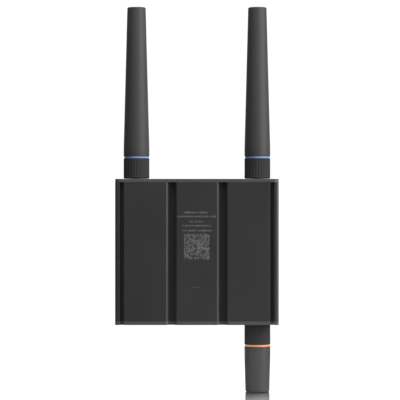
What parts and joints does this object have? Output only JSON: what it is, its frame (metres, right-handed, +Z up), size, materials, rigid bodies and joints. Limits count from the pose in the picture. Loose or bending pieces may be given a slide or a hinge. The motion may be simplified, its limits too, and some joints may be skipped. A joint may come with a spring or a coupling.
{
  "type": "wireless gateway",
  "caption": "Compact wireless gateway in a grooved extruded metal case, with tapered rod antennas on screw-on knurled nuts at its top and a short one below.",
  "frame": {"origin": "middle of the case's back face, in the plane of its flat pads", "axes": "+Z up along the antennas, +Y from the back into the case, +X to the right seen from the back"},
  "size_m": [0.1076, 0.034, 0.2551],
  "materials": {
    "case_paint": "charcoal powder coat",
    "plate_paint": "charcoal powder coat, satin",
    "seal_rubber": "matte",
    "screw_steel": "zinc plated, passivated",
    "board_laminate": "solder mask",
    "jack_brass": "plated",
    "insulator": "smooth",
    "contact_gold": "gold flash",
    "grip_plastic": "moulded, satin",
    "antenna_plastic": "moulded, fine satin",
    "blue_ring": "moulded",
    "orange_ring": "moulded",
    "element_copper": "bare",
    "former_plastic": "natural",
    "shield_tin": "tinned",
    "chip_plastic": "moulded",
    "sink_aluminium": "anodised",
    "can_aluminium": "plain",
    "jack_plastic": "moulded",
    "header_plastic": "moulded",
    "overlay_film": "polycarbonate film",
    "guide_clear": "clear moulded",
    "tray_plastic": "moulded",
    "card_plastic": "printed card"
  },
  "bodies": {
    "chassis": {"case_body": "case_paint", "top_end_plate": "plate_paint", "bottom_end_plate": "plate_paint", "top_seal": "seal_rubber", "bottom_seal": "seal_rubber", "end_plate_screws": "screw_steel", "main_board": "board_laminate", "antenna_jack_shells": "jack_brass", "antenna_jack_insulators": "insulator", "antenna_jack_contacts": "contact_gold", "processor": "chip_plastic", "heat_sink": "sink_aluminium", "radio_shield": "shield_tin", "modem_card": "board_laminate", "modem_shield": "shield_tin", "modem_supports": "chip_plastic", "board_capacitors": "can_aluminium", "board_inductors": "chip_plastic", "board_chips": "chip_plastic", "front_overlay": "overlay_film", "light_guides": "guide_clear", "network_jack_shells": "shield_tin", "network_jack_bodies": "jack_plastic", "network_contacts": "contact_gold", "power_header_body": "header_plastic", "power_header_pins": "shield_tin", "card_cage": "shield_tin", "service_port_shell": "shield_tin", "service_port_tongue": "chip_plastic", "reset_switch": "chip_plastic"},
    "left_antenna": {"left_antenna_plug_body": "jack_brass", "left_antenna_plug_pin": "contact_gold", "left_antenna_ring": "blue_ring", "left_antenna_base_plug": "antenna_plastic", "left_antenna_sheath": "antenna_plastic", "left_antenna_element": "element_copper"},
    "left_antenna_nut": {"left_antenna_nut_grip": "grip_plastic", "left_antenna_coupling_nut": "jack_brass"},
    "right_antenna": {"right_antenna_plug_body": "jack_brass", "right_antenna_plug_pin": "contact_gold", "right_antenna_ring": "blue_ring", "right_antenna_base_plug": "antenna_plastic", "right_antenna_sheath": "antenna_plastic", "right_antenna_element": "element_copper"},
    "right_antenna_nut": {"right_antenna_nut_grip": "grip_plastic", "right_antenna_coupling_nut": "jack_brass"},
    "short_antenna": {"short_antenna_plug_body": "jack_brass", "short_antenna_plug_pin": "contact_gold", "short_antenna_ring": "orange_ring", "short_antenna_base_plug": "antenna_plastic", "short_antenna_sheath": "antenna_plastic", "short_antenna_coil": "element_copper", "short_antenna_former": "former_plastic"},
    "short_antenna_nut": {"short_antenna_nut_grip": "grip_plastic", "short_antenna_coupling_nut": "jack_brass"},
    "card_tray": {"card_tray": "tray_plastic", "subscriber_card": "card_plastic"},
    "reset_button": {"reset_button": "grip_plastic"}
  },
  "joints": [
    {"name": "left_antenna_lift", "type": "slide", "parent": "chassis", "child": "left_antenna", "axis": [0, 0, 1], "range_m": [0, 0.00353]},
    {"name": "left_antenna_nut_turn", "type": "hinge", "parent": "left_antenna", "child": "left_antenna_nut", "pos_m": [-0.0401, 0.017, 0.048], "axis": [0, 0, 1], "range_deg": [0, 1800]},
    {"name": "right_antenna_lift", "type": "slide", "parent": "chassis", "child": "right_antenna", "axis": [0, 0, 1], "range_m": [0, 0.00353]},
    {"name": "right_antenna_nut_turn", "type": "hinge", "parent": "right_antenna", "child": "right_antenna_nut", "pos_m": [0.0401, 0.017, 0.048], "axis": [0, 0, 1], "range_deg": [0, 1800]},
    {"name": "short_antenna_lift", "type": "slide", "parent": "chassis", "child": "short_antenna", "axis": [0, 0, -1], "range_m": [0, 0.00353]},
    {"name": "short_antenna_nut_turn", "type": "hinge", "parent": "short_antenna", "child": "short_antenna_nut", "pos_m": [0.0401, 0.017, -0.048], "axis": [0, 0, -1], "range_deg": [0, 1800]},
    {"name": "card_tray_slide", "type": "slide", "parent": "chassis", "child": "card_tray", "axis": [0, 0, 1], "range_m": [0, 0.016]},
    {"name": "reset_press", "type": "slide", "parent": "chassis", "child": "reset_button", "axis": [0, 0, -1], "range_m": [0, 0.0008], "stiffness_N_per_m": 500, "springref_m": -0.001}
  ],
  "couplings": [
    {"joint": "left_antenna_nut_turn", "follows": "left_antenna_lift", "rad_per_m": 8905.3},
    {"joint": "right_antenna_nut_turn", "follows": "right_antenna_lift", "rad_per_m": 8905.3},
    {"joint": "short_antenna_nut_turn", "follows": "short_antenna_lift", "rad_per_m": 8905.3}
  ]
}
